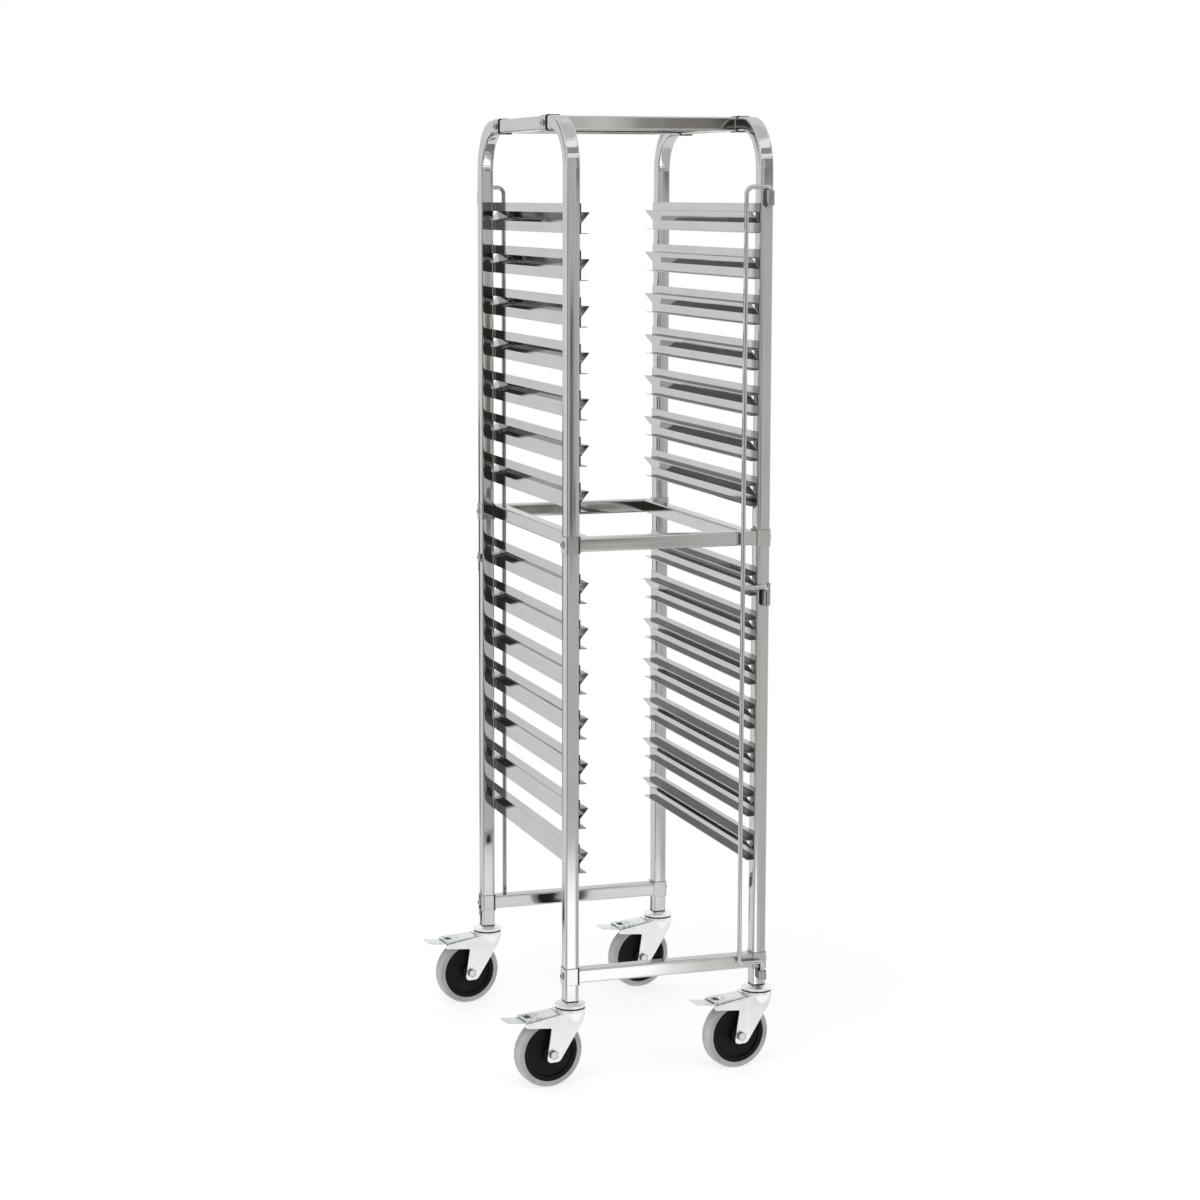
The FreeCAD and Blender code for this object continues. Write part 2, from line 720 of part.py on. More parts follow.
def make_lever():
    """A brake lever: a channel between the fork's horns, a window in its top, a pedal out of its open end."""
    body = new_body("lever")
    thick = size("lever_sheet")
    skirt = size("lever_skirt")
    heel_x = -race_radius - size("lever_heel_gap")
    heel_z = crown_top - size("lever_heel_drop")
    tip_x = tread_end + size("lever_inset")
    tip_z = crown_top - size("lever_tip_drop")
    width = fork_gap - 2 * size("lever_side_gap")
    walls = sketch_on(body, "XZ_Plane", "lever_side")
    outline(walls, [(heel_x, heel_z), (heel_x, heel_z - size("lever_heel_depth")),
                    (brake_x + 2 * skirt, brake_z - skirt, skirt),
                    (brake_x - skirt, brake_z - skirt, skirt / 2),
                    (tip_x, tip_z - size("lever_tip_depth")), (tip_x, tip_z)])
    pad(body, walls, width, symmetric=True)
    hollow = sketch_on(body, "XZ_Plane", "lever_hollow")
    outline(hollow, [(0, heel_z - thick), (0, 0), (2 * tip_x, 0), (2 * tip_x, tip_z - thick),
                     (tip_x, tip_z - thick), (heel_x, heel_z - thick)])
    cut_between(body, hollow, width - 2 * thick)
    root_x = brake_x - size("brake_pin_diameter") / 2 - size("rest_gap")
    root_z = crown_top - size("pedal_root_drop")
    knee_x, knee_z = tip_x - size("pedal_knee"), root_z - size("pedal_sag")
    end_x, end_z = tread_end - size("pedal_overhang"), knee_z + size("pedal_lift")
    pedal = sketch_on(body, "XZ_Plane", "pedal_side")
    outline(pedal, [(root_x, root_z), (knee_x, knee_z, thick), (end_x, end_z), (end_x, end_z - thick),
                    (knee_x, knee_z - thick, 2 * thick), (root_x, root_z - thick)])
    pad(body, pedal, width - thick, symmetric=True)
    half = size("pedal_width") / 2
    trim = sketch_on(body, "XY_Plane", "pedal_trim")
    outline(trim, [(tip_x, -fork_width), (tip_x, -half), (end_x, -half, size("pedal_round")),
                   (end_x, half, size("pedal_round")), (tip_x, half), (tip_x, fork_width),
                   (2 * end_x, fork_width), (2 * end_x, -fork_width)])
    cut_through(body, trim)
    hole = sketch_on(body, "XZ_Plane", "lever_hole")
    disc(hole, brake_x, brake_z, size("brake_pin_diameter") + 2 * running_fit)
    cut_through(body, hole)
    window = sketch_on(body, "XY_Plane", "lever_window", heel_z)
    window_x = tip_x + size("window_inset") + size("window_length") / 2
    rectangle(window, window_x, 0, size("window_length"), size("window_width"), size("window_round"))
    cut_between(body, window, 2 * (heel_z - tip_z + thick))
    return body


def make_brake_pin():
    """The pin on which a brake lever rocks, along Y between the fork's horns."""
    body = new_body("brake_pin")
    section = sketch_on(body, "XZ_Plane", "brake_pin_section")
    disc(section, 0, 0, size("brake_pin_diameter"))
    pad(body, section, fork_width, symmetric=True)
    return body


def place_frame():
    """Hoops, cross-bars, mid frame, straps and screws."""
    hoop = make_hoop()
    node("left_hoop", (hoop, -post_x, 0, 0, 0, 0))
    node("right_hoop", (hoop, post_x, 0, 0, 180, 0))
    bar = make_cross_bar()
    for name, side in (("front", -1), ("rear", 1)):
        node(f"top_{name}_bar", (bar, 0, side * top_bar_y, hoop_top, 0, 90))
        node(f"mid_{name}_bar", (bar, 0, side * post_y, mid_height, 0, 0))
        node(f"bottom_{name}_bar", (bar, 0, side * post_y, bottom_bar_height, 0, 0))
    side_bar = make_side_bar()
    for name, side in (("left", -1), ("right", 1)):
        node(f"mid_{name}_bar", (side_bar, side * (inner_x - tube_half), 0, mid_height, 0, 0))
    joints = [(side, row * top_bar_y, hoop_top, 90) for side in SIDES for row in SIDES]
    joints += [(side, row * post_y, height, 0)
               for height in (mid_height, bottom_bar_height) for side in SIDES for row in SIDES]
    strap = make_strap()
    screw = make_screw("strap_screw", strap_sheet * 2 + tube_side + size("screw_tail"))
    straps = [(strap, side * post_x, y, z, 90 + 90 * side, roll) for side, y, z, roll in joints]
    node("top_straps", *straps[:4])
    node("post_straps", *straps[4:])
    head_x = size("frame_width") / 2 + strap_sheet
    node("strap_screws", *[(screw, side * head_x, y, z, 90 + 90 * side, 0) for side, y, z, roll in joints])


def place_runners():
    """A pair of runners at every level but the mid frame's."""
    runner = make_runner()
    for level in (*UPPER_LEVELS, *LOWER_LEVELS):
        height = top_ledge - level_pitch * (level - UPPER_LEVELS[0])
        node(f"runner_pair_{level:02d}", *[(runner, side * inner_x, 0, height, 90 + 90 * side, 0)
                                           for side in SIDES])


def place_lock_rods():
    """A lock rod on the front right post and one on the rear left post, with their eyes and bolts."""
    rod = make_lock_rod()
    top_eye = make_eye("top_eye", size("eye_height"))
    mid_eye = make_mid_eye()
    low_eye = make_eye("bottom_eye", size("bottom_eye_height"))
    bolt = make_screw("eye_bolt", size("eye_tab") + tube_side)
    eyes = ((top_eye, top_eye_foot), (mid_eye, mid_eye_foot), (low_eye, bottom_eye_foot))
    for name, side, turn in (("front", 1, 0), ("rear", -1, 180)):
        node(f"{name}_lock_rod", (rod, side * pin_x, -side * pin_y, 0, turn, 0))
        node(f"{name}_rod_eyes", *[(eye, side * pin_x, -side * pin_y, foot, turn, 0) for eye, foot in eyes])
    head_x = size("frame_width") / 2 + size("eye_tab")
    node("eye_bolts", *[(bolt, side * head_x, -side * post_y, eye_bolt_height, 90 + 90 * side, 0)
                        for side in SIDES])


def place_casters():
    """A plug and a braked caster under each post, all trailing towards -X and a little to the front."""
    corners = [(f"{end}_{hand}", side * post_x, row * post_y)
               for end, row in (("front", -1), ("rear", 1)) for hand, side in (("left", -1), ("right", 1))]
    for label, master in (("post_plugs", make_plug()), ("caster_stems", make_stem()),
                          ("caster_seals", make_seal())):
        node(label, *[(master, x, y, 0, 0, 0) for name, x, y in corners])
    fork, lever = make_fork(), make_lever()
    axle, core, tyre, pin = make_axle(), make_core(), make_tyre(), make_brake_pin()
    along = math.cos(math.radians(CASTER_TURN))
    across = math.sin(math.radians(CASTER_TURN))
    for name, x, y in corners:
        node(f"{name}_fork", (fork, x, y, 0, CASTER_TURN, 0))
        node(f"{name}_brake_lever", (lever, x, y, 0, CASTER_TURN, 0))
        node(f"{name}_brake_pin", (pin, x + brake_x * along, y + brake_x * across, brake_z, CASTER_TURN, 0))
        for label, master in (("axle", axle), ("wheel_core", core), ("tyre", tyre)):
            wheel_x, wheel_y = x - trail * along, y - trail * across
            node(f"{name}_{label}", (master, wheel_x, wheel_y, wheel_radius, CASTER_TURN, 0))


def check_and_write():
    """Stop on any failed object or bad shape, then write one file for each sub-part."""
    doc.recompute()
    for item in doc.Objects:
        if "Invalid" in item.State or "Error" in item.State:
            raise RuntimeError(f"{item.Label} failed: {item.State}")
    os.makedirs("parts", exist_ok=True)
    for item in nodes:
        if item.Shape.isNull() or not item.Shape.isValid() or not item.Shape.Solids:
            raise RuntimeError(f"{item.Label} has no valid shape")
    for item in nodes:
        item.Shape.exportStep(f"parts/{item.Label}.step")


place_frame()
place_runners()
place_lock_rods()
place_casters()
check_and_write()
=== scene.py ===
import math

import bmesh
import bpy
import numpy as np
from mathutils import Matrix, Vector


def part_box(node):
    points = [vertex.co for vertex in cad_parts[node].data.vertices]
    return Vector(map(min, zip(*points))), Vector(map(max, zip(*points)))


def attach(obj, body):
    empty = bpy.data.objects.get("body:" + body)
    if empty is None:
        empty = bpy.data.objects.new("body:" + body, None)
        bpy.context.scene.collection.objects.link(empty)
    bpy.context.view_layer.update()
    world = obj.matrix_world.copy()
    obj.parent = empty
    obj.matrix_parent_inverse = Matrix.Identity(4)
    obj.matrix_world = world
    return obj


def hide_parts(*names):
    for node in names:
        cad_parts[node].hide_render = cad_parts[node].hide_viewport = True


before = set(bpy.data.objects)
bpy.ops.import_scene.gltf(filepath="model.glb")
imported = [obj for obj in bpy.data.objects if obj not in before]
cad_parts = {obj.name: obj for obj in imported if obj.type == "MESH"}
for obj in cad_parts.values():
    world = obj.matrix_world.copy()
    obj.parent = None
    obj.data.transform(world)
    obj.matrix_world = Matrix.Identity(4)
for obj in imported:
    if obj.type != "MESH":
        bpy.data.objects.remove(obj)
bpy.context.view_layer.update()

# The two hoops: square stainless tube bent to an inverted U and polished bright. Drawing the tube leaves its
# faces slightly bowed and the polishing belt leaves faint streaks, which stretch what it mirrors. They run up
# the legs and along the top run, and change over in the bends.


class Wire:
    """A socket of a node tree. Sums, differences, products and quotients of wires add Math nodes."""

    def __init__(self, tree, socket):
        self.tree = tree
        self.socket = socket

    def node(self, kind, settings=None, inputs=None, output=0):
        """Add a node: its settings first, then a value or a wire for each named or numbered socket."""
        made = self.tree.nodes.new(kind)
        for name, value in (settings or {}).items():
            setattr(made, name, value)
        for name, value in (inputs or {}).items():
            if isinstance(value, Wire):
                self.tree.links.new(value.socket, made.inputs[name])
            else:
                made.inputs[name].default_value = value
        return Wire(self.tree, made.outputs[output])

    def maths(self, operation, *others):
        """A Math node's operation on this wire and then the others."""
        return self.node("ShaderNodeMath", {"operation": operation}, dict(enumerate((self, *others))))

    def reflected(self, operation, other):
        """A Math node's operation on the other value and then this wire."""
        return self.node("ShaderNodeMath", {"operation": operation}, {0: other, 1: self})

    def __add__(self, other):
        return self.maths("ADD", other)

    def __sub__(self, other):
        return self.maths("SUBTRACT", other)

    def __rsub__(self, other):
        return self.reflected("SUBTRACT", other)

    def __mul__(self, other):
        return self.maths("MULTIPLY", other)

    def __truediv__(self, other):
        return self.maths("DIVIDE", other)

    def __abs__(self):
        return self.maths("ABSOLUTE")

    __radd__ = __add__
    __rmul__ = __mul__

    def axes(self):
        """The x, y and z of a vector wire."""
        split = self.node("ShaderNodeSeparateXYZ", None, {0: self}).socket.node
        return [Wire(self.tree, output) for output in split.outputs]

    def noise(self, scale, detail=2.0, stretch=(1, 1, 1)):
        """Cloudy values about 0.5, drawn out by stretch before scale is applied."""
        drawn = self.node("ShaderNodeMapping", None, {"Vector": self, "Scale": stretch})
        return self.node("ShaderNodeTexNoise", None, {"Vector": drawn, "Scale": scale, "Detail": detail})

    def step(self, start, end):
        """A smooth rise from 0 at start to 1 at end, or a fall where end is the lower."""
        return self.node("ShaderNodeMapRange", {"interpolation_type": "SMOOTHSTEP"},
                         {"Value": self, "From Min": start, "From Max": end})

    def between(self, start, end, soft):
        """1 between start and end, falling to 0 over soft to either side of each."""
        return self.step(start - soft, start + soft) * self.step(end + soft, end - soft)

    def blend(self, low, high):
        """A colour that goes from low to high as this wire goes from 0 to 1."""
        return self.node("ShaderNodeMix", {"data_type": "RGBA"}, {0: self, 6: low, 7: high}, 2)

    def bump(self):
        """A surface normal that follows this wire as a height in metres."""
        return self.node("ShaderNodeBump", None, {"Height": self, "Distance": 1.0, "Strength": 1.0})


def start_finish(name):
    """A new material, its surface shader and the wire of its object coordinates."""
    material = bpy.data.materials.new(name)
    material.use_nodes = True
    tree = material.node_tree
    shader = tree.nodes["Principled BSDF"]
    return material, shader, Wire(tree, tree.nodes.new("ShaderNodeTexCoord").outputs["Object"])


def end_finish(shader, sockets):
    """Set values on the shader's own sockets and link wires to them."""
    for name, value in sockets.items():
        if isinstance(value, Wire):
            value.tree.links.new(value.socket, shader.inputs[name])
        else:
            shader.inputs[name].default_value = value


belt_lines = 260.0
belt_draw = 0.012
belt_depth = 0.000012
wiping_marks = 9.0
tube_dull, tube_bright = 0.55, 0.63
steel_edge_tint = (0.8, 0.8, 0.8, 1)


def grey(tone):
    """The colour of stainless, a hundredth less in blue than in red and green."""
    return (tone, tone, tone * 0.99, 1)


def brightness(streaks, clouds):
    """How bright the polish is, from 0 to 1: the mean of the streaks and the wiping marks, spread out."""
    return (streaks * 0.5 + clouds * 0.5).step(0.25, 0.75)


def polished_steel(name, belt, bow=None, painted_dimming=0.0):
    """Bright stainless: streaks from belt(place), cloudy wiping marks, and faces that bow.

    bow(x, y, z) gives how far the drawn face lies below a flat one, in metres. The last argument is the share of
    the brightness taken away as painted shade, for parts that mirror dark surroundings.
    """
    material, shader, place = start_finish(name)
    streaks = belt(place)
    clouds = place.noise(wiping_marks, 4.0)
    height = streaks * belt_depth
    if bow:
        height = height - bow(*place.axes())
    # Painted shade: the tone is lowered by the last argument's share for parts that mirror dark surroundings.
    dull, bright = grey(tube_dull * (1 - painted_dimming)), grey(tube_bright * (1 - painted_dimming))
    end_finish(shader, {
        "Metallic": 1.0,
        "Specular Tint": steel_edge_tint,
        "Base Color": brightness(streaks, clouds).blend(dull, bright),
        "Roughness": 0.03 + 0.04 * streaks + 0.04 * clouds.step(0.45, 0.7),
        "Normal": height.bump(),
    })
    return material


def belt_along(axis):
    """Streaks that a polishing belt leaves along x, y or z, which are 0, 1 and 2."""
    stretch = [1, 1, 1]
    stretch[axis] = belt_draw

    def streaks(place):
        return place.noise(belt_lines, 3.0, stretch)
    return streaks


def dress(material, *names):
    """Put a finish on CAD nodes."""
    for name in names:
        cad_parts[name].material_slots[0].material = material


def middle(name):
    """The middle of a CAD node's box at rest."""
    low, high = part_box(name)
    return (low + high) / 2


post_x = abs(middle("left_hoop").x)
post_y = abs(middle("bottom_front_bar").y)
hoop_z = middle("top_front_bar").z
hoop_bend = 0.080
hoop_crown, hoop_edge = 0.45, 2.0e8
streaks_turn = (hoop_z - 0.045, hoop_z - 0.015)


def face_drop(offset, crown, edge):
    """A drawn face at an offset from its middle: a shallow arc whose edges turn down.

    The drop is the offset squared over twice the crown's radius, and edge times its sixth power, which tells
    only near the edge.
    """
    square = offset * offset
    return square / (2 * crown) + edge * (square * square * square)


def hoop_bow(x, y, z):
    """The drop across the hoop's plane, and in it from the line of the legs, the bends and the top run.

    That line is hoop_bend away from the points of a rectangle drawn hoop_bend inside it.
    """
    past_leg = (abs(y) - (post_y - hoop_bend)).maths("MAXIMUM", 0.0)
    past_top = (z - (hoop_z - hoop_bend)).maths("MAXIMUM", 0.0)
    outward = (past_leg * past_leg + past_top * past_top).maths("SQRT") - hoop_bend
    return face_drop(abs(x) - post_x, hoop_crown, hoop_edge) + face_drop(outward, hoop_crown, hoop_edge)


def hoop_belt(place):
    """Streaks up the legs that blend, over the height of streaks_turn, into streaks along Y."""
    top_run = place.axes()[2].step(*streaks_turn)
    legs = belt_along(2)(place)
    return legs + top_run * (belt_along(1)(place) - legs)


dress(polished_steel("hoop_steel", hoop_belt, hoop_bow), "left_hoop", "right_hoop")

# The cross-bars and the mid frame: lengths of the same tube cut square, polished along their length and
# butted against the posts. The two side tubes of the mid frame lie along Y.
tiers = ("top", "mid", "bottom")
bar_crown, bar_edge = 2.5, 3.0e7


def bar_bow(row, height):
    """The drop of the faces of the two tubes along X at this row to the front and the rear."""
    def drop(x, y, z):
        return face_drop(abs(y) - row, bar_crown, bar_edge) + face_drop(z - height, bar_crown, bar_edge)
    return drop


for tier in tiers:
    rear = middle(f"{tier}_rear_bar")
    steel = polished_steel(f"{tier}_bar_steel", belt_along(0), bar_bow(rear.y, rear.z))
    dress(steel, f"{tier}_front_bar", f"{tier}_rear_bar")
dress(polished_steel("mid_side_steel", belt_along(1)), "mid_left_bar", "mid_right_bar")

# The straps: stainless sheet bent to a U round each post or hoop, so that its two ends close on the
# cross-bar. Their edges, and the ends of the left straps, are painted dark as painted shadow in the gaps along
# them.
strap_half = 0.015
strap_shade_width = 0.0014
strap_end = 0.1683
strap_end_blur = 0.0009
strap_side_shade = 0.35


def strap_steel(name, edge):
    """Bright sheet with painted shade, dark and rough, on its edges where edge(x, y, z), 0 inside the strap and 1
    on its edges, says so.
    """
    material, shader, place = start_finish(name)
    gap_shade = edge(*place.axes())
    streaks = place.noise(belt_lines, 3.0, (1, 1, 0.05))
    clouds = place.noise(wiping_marks, 4.0)
    colour = brightness(streaks, clouds).blend((0.52, 0.522, 0.52, 1), (0.60, 0.60, 0.59, 1))
    end_finish(shader, {
        "Metallic": 1.0,
        "Specular Tint": steel_edge_tint,
        # The edges are painted near black, as painted shadow in the gaps along them.
        "Base Color": gap_shade.blend(colour, (0.07, 0.07, 0.07, 1)),
        "Roughness": 0.04 + 0.05 * streaks + 0.4 * gap_shade,
        "Normal": (streaks * belt_depth).bump(),
    })
    return material


def strap_edge_shade(offset):
    """0 inside a strap and 1 on its edge, where painted shade goes, for an offset from the strap's middle."""
    return abs(offset).step(strap_half - strap_shade_width, strap_half)


def post_strap_shade(x, y, z):
    """Painted shade on the upper and lower edges of the straps on the posts, and on the ends that close on the
    bars.

    The edges are far from both rows of straps' middles. The ends show on the left posts, inside strap_end.
    """
    sides = strap_edge_shade(z - middle("mid_rear_bar").z) * strap_edge_shade(z - middle("bottom_rear_bar").z)
    return (sides * strap_side_shade).maths("MAXIMUM", x.between(-strap_end, 0.0, strap_end_blur))


def top_strap_shade(x, y, z):
    """Painted shade on the front and rear edges of the straps on the hoops' top runs."""
    return strap_edge_shade(abs(y) - middle("top_rear_bar").y)


dress(strap_steel("top_strap_steel", top_strap_shade), "top_straps")
dress(strap_steel("post_strap_steel", post_strap_shade), "post_straps")

# The screws: turned bright steel with a low dome head and a hexagon socket, one through the middle of each
# strap and one through the tab of each middle eye. They are driven along X from outside.
screw_shank = 0.003
head_radius, head_rim, head_swell, head_top = 0.0065, 0.0006, 0.0039, 0.0045
socket_mouth, socket_half, socket_floor, socket_point = 0.0026, 0.002, 0.0020, 0.0017
point_bevel = 0.0006
sharp_angle = 0.6


def dome_screws(name, places, shank, length):
    """Screws along X whose heads stand out to either side from seats at places, as one mesh.

    Each is a profile of (height out of the seat, radius) turned round the screw's axis. In the socket the
    radius follows a hexagon: its half width over the cosine of the angle from the middle of the nearest flat.
    """
    angle = np.linspace(0, 2 * np.pi, 48, endpoint=False)
    swell = np.linspace(0, 1.1, 9)
    height = np.concatenate([[-length, -length, -length + point_bevel, 0, 0],
                             head_rim + head_swell * np.sin(swell),
                             [head_top - 0.0005, head_top - 0.0006, socket_floor, socket_floor, socket_point]])
    radius = np.concatenate([[0, shank - 0.0005, shank, shank, head_radius - 0.0003],
                             head_radius * np.cos(swell),
                             [socket_mouth, socket_half, socket_half, socket_half * 0.6, 0]])
    hexagon = np.concatenate([np.zeros(14), [0.5, 1, 1, 1, 0]])
    flat = (angle + np.pi / 6) % (np.pi / 3) - np.pi / 6
    reach = radius[:, None] * (1 - hexagon[:, None] + hexagon[:, None] / np.cos(flat))
    rows, columns = reach.shape
    corner = np.arange(rows * columns).reshape(rows, columns)
    onward = np.roll(corner, -1, axis=1)
    quads = np.stack([corner[:-1], onward[:-1], onward[1:], corner[1:]], -1).reshape(-1, 4)
    points, faces = [], []
    for count, (x, y, z) in enumerate(places):
        side = np.sign(x)
        out = np.broadcast_to(x + side * height[:, None], reach.shape)
        turned = np.stack([out, y + side * reach * np.cos(angle), z + reach * np.sin(angle)], -1)
        points.append(turned.reshape(-1, 3))
        faces.append(quads + count * rows * columns)
    sheet = bpy.data.meshes.new(name)
    sheet.from_pydata(np.concatenate(points).tolist(), [], np.concatenate(faces).tolist())
    return sheet


def smooth_piece(sheet, material, body, slot, *nodes):
    """Close the poles, round the shading up to sharp edges, and stand for CAD nodes on a body."""
    shape = bmesh.new()
    shape.from_mesh(sheet)
    bmesh.ops.remove_doubles(shape, verts=shape.verts, dist=0.000001)
    bmesh.ops.recalc_face_normals(shape, faces=shape.faces)
    shape.to_mesh(sheet)
    shape.free()
    sheet.polygons.foreach_set("use_smooth", np.ones(len(sheet.polygons), bool))
    sheet.set_sharp_from_angle(angle=sharp_angle)
    sheet.materials.append(material)
    piece = bpy.data.objects.new(sheet.name, sheet)
    bpy.context.scene.collection.objects.link(piece)
    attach(piece, body)
    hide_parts(*nodes)


def screw_steel():
    """Turned bright steel, darker than the tube, with a fine grain from the turning and cloudy handling."""
    material, shader, place = start_finish("screw_steel")
    grain = place.noise(900.0, 3.0)
    clouds = place.noise(120.0, 3.0)
    end_finish(shader, {
        "Metallic": 1.0,
        "Base Color": clouds.step(0.3, 0.7).blend((0.30, 0.30, 0.295, 1), (0.46, 0.46, 0.45, 1)),
        "Roughness": 0.10 + 0.10 * clouds,
        "Normal": (grain * 0.00001).bump(),
    })
    return material


bright_steel = screw_steel()
strap_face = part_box("post_straps")[1].x
strap_places = [(side * strap_face, row * rear.y, rear.z)
                for rear in (middle(f"{tier}_rear_bar") for tier in tiers)
                for side in (-1, 1) for row in (-1, 1)]
smooth_piece(dome_screws("dome_screws", strap_places, screw_shank, 0.035), bright_steel, "frame", "bright_screws",
             "strap_screws")
tab_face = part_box("front_rod_eyes")[1].x
tab_places = [(side * tab_face, -side * post_y, middle("eye_bolts").z) for side in (-1, 1)]
smooth_piece(dome_screws("dome_bolts", tab_places, screw_shank, 0.0265), bright_steel, "frame", "bright_screws",
             "eye_bolts")

# The runners: stainless sheet folded lengthwise to a ledge, a nose and a lip, bright as bought. Long soft
# waves in the sheet bend what it mirrors, and the front ends are painted dark, as painted shade.
sheet_lines = 240.0
sheet_depth = 0.000002
wave_depth = 0.0006
end_shade_from, end_shade_to = -0.235, -0.262
end_shade_share = 0.8


def runner_steel():
    """Bright sheet: streaks along Y, cloudy wiping marks, long waves, and front ends painted dark as painted
    shade.
    """
    material, shader, place = start_finish("runner_steel")
    waves = place.noise(5.0, 1.0, (0.2, 1, 2.5))
    streaks = place.noise(sheet_lines, 3.0, (1, belt_draw, 1))
    clouds = place.noise(11.0, 4.0)
    # The front ends are painted dark, as painted shade.
    end_shade = place.axes()[1].step(end_shade_from, end_shade_to) * end_shade_share
    colour = brightness(streaks, clouds).blend((0.53, 0.532, 0.53, 1), (0.61, 0.61, 0.60, 1))
    end_finish(shader, {
        "Metallic": 1.0,
        "Specular Tint": steel_edge_tint,
        "Base Color": end_shade.blend(colour, (0.10, 0.10, 0.10, 1)),
        "Roughness": 0.03 + 0.04 * streaks + 0.03 * clouds.step(0.45, 0.7),
        "Normal": (waves * wave_depth + streaks * sheet_depth).bump(),
    })
    return material


dress(runner_steel(), *[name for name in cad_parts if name.startswith("runner_pair")])

# The lock rods and their eyes: round bright rod bent cold, with three short pins that hang in eyes of drawn
# tube. The eyes are welded to the posts, and the middle one is also bolted by its tab. The eyes and the rear rod
# are painted darker, as painted shade for the dark surroundings they mirror.
dress(polished_steel("rod_steel", belt_along(2)), "front_lock_rod")
# The rear rod and the eyes take painted shade: a darker tone for the dark surroundings they mirror.
dress(polished_steel("shaded_rod_steel", belt_along(2), painted_dimming=0.35), "rear_lock_rod", "front_rod_eyes",
      "rear_rod_eyes")

# The plugs pressed into the feet of the posts and the dust seals under the casters' bearing races: moulded
# black plastic with a fine spark-eroded grain.
mould_grain = 1800.0
mould_clouds = 40.0


def black_plastic(name):
    """Black plastic: a fine grain, and clouds that vary its tone and its gloss."""
    material, shader, place = start_finish(name)
    grain = place.noise(mould_grain, 2.0)
    clouds = place.noise(mould_clouds, 3.0)
    end_finish(shader, {
        "Base Color": clouds.blend((0.010, 0.010, 0.011, 1), (0.022, 0.022, 0.023, 1)),
        "Roughness": 0.42 + 0.16 * clouds,
        "Normal": (grain * 0.00004).bump(),
    })
    return material


dress(black_plastic("plug_plastic"), "post_plugs", "caster_seals")

# The casters' metal: forks and brake levers pressed from sheet, stems, axles and pins turned from bar, all
# zinc plated. The levers' plating is a little greener and duller than the forks', and near the pivot it carries
# painted dark blotches, painted reflections of dark surroundings. The flanks of the axles' hexagons are
# painted dark, as painted shade.
corners = [f"{end}_{hand}" for end in ("front", "rear") for hand in ("left", "right")]
wheel_turn = math.radians(8)
wheel_trail = 0.044
wheel_z = 0.0625
# Where the painted dark reflections lie on each lever's end.
lever_reflection_start, lever_reflection_end, lever_reflection_blur = -0.0535, -0.020, 0.010
lever_reflection_share = 0.6
# Where the painted shade lies on the axles' hexagons, and how dark it is.
nut_face, nut_flank = 0.0060, 0.0068
nut_shade_share = 0.9
# The colour of the painted shade and the painted dark reflections.
painted_shade_colour = (0.05, 0.08, 0.08, 1)


def wheel_axes(place):
    """Ahead of the nearest wheel's middle, along its axle and above it. The four casters all stand alike."""
    x, y, z = place.axes()
    x = x + wheel_trail * math.cos(wheel_turn)
    y = y + wheel_trail * math.sin(wheel_turn)
    x = x - post_x * x.maths("SIGN")
    y = y - post_y * y.maths("SIGN")
    ahead = x * math.cos(wheel_turn) + y * math.sin(wheel_turn)
    return ahead, y * math.cos(wheel_turn) - x * math.sin(wheel_turn), z - wheel_z


def off_axle(place):
    """Distance from the nearest axle's line: the root of the sum of the squares ahead of it and above it."""
    ahead, _, rise = wheel_axes(place)
    return (ahead * ahead + rise * rise).maths("SQRT")


def zinc_plate(name, dull, bright, painted_shade=None):
    """Bright zinc with cloudy passivation, and painted dark teal shade where the last argument, given place, goes
    from 0 to 1.
    """
    material, shader, place = start_finish(name)
    grain = place.noise(900.0, 3.0)
    clouds = place.noise(55.0, 4.0)
    colour = clouds.step(0.3, 0.7).blend(dull, bright)
    # Painted shade: dark teal where the mask says so.
    if painted_shade:
        colour = painted_shade(place).blend(colour, painted_shade_colour)
    end_finish(shader, {
        "Metallic": 1.0,
        "Base Color": colour,
        "Roughness": 0.30 + 0.14 * clouds,
        "Normal": (grain * 0.00003).bump(),
    })
    return material


def lever_dark_reflections(place):
    """Painted dark blotches over the end of a lever: painted reflections of dark surroundings in the plating."""
    blotches = place.noise(170.0, 3.0).step(0.48, 0.66)
    ahead = wheel_axes(place)[0]
    return lever_reflection_share * blotches * ahead.between(lever_reflection_start, lever_reflection_end, lever_reflection_blur)


def nut_flank_shade(place):
    """Painted shade on the flanks of the hexagons on an axle, outside the round face of each."""
    return off_axle(place).step(nut_face, nut_flank) * nut_shade_share


zinc = zinc_plate("caster_zinc", (0.87, 0.885, 0.90, 1), (0.95, 0.955, 0.96, 1))
dress(zinc, "caster_stems", *[f"{corner}_{piece}" for corner in corners for piece in ("fork", "brake_pin")])
dress(zinc_plate("axle_zinc", (0.70, 0.71, 0.72, 1), (0.80, 0.80, 0.81, 1), nut_flank_shade),
      *[f"{corner}_axle" for corner in corners])
dress(zinc_plate("lever_zinc", (0.70, 0.74, 0.71, 1), (0.82, 0.85, 0.82, 1), lever_dark_reflections),
      *[f"{corner}_brake_lever" for corner in corners])

# The wheels: a hard black core moulded with rings round its hub, and a grey non-marking tread moulded on it
# with a parting line round its middle. The tread's shoulders are painted darker, as painted shade.
ring_pitch, ring_height = 0.005, 0.0004
parting_half, parting_height = 0.0002, 0.0003
shoulder_start, shoulder_end = 0.010, 0.0145


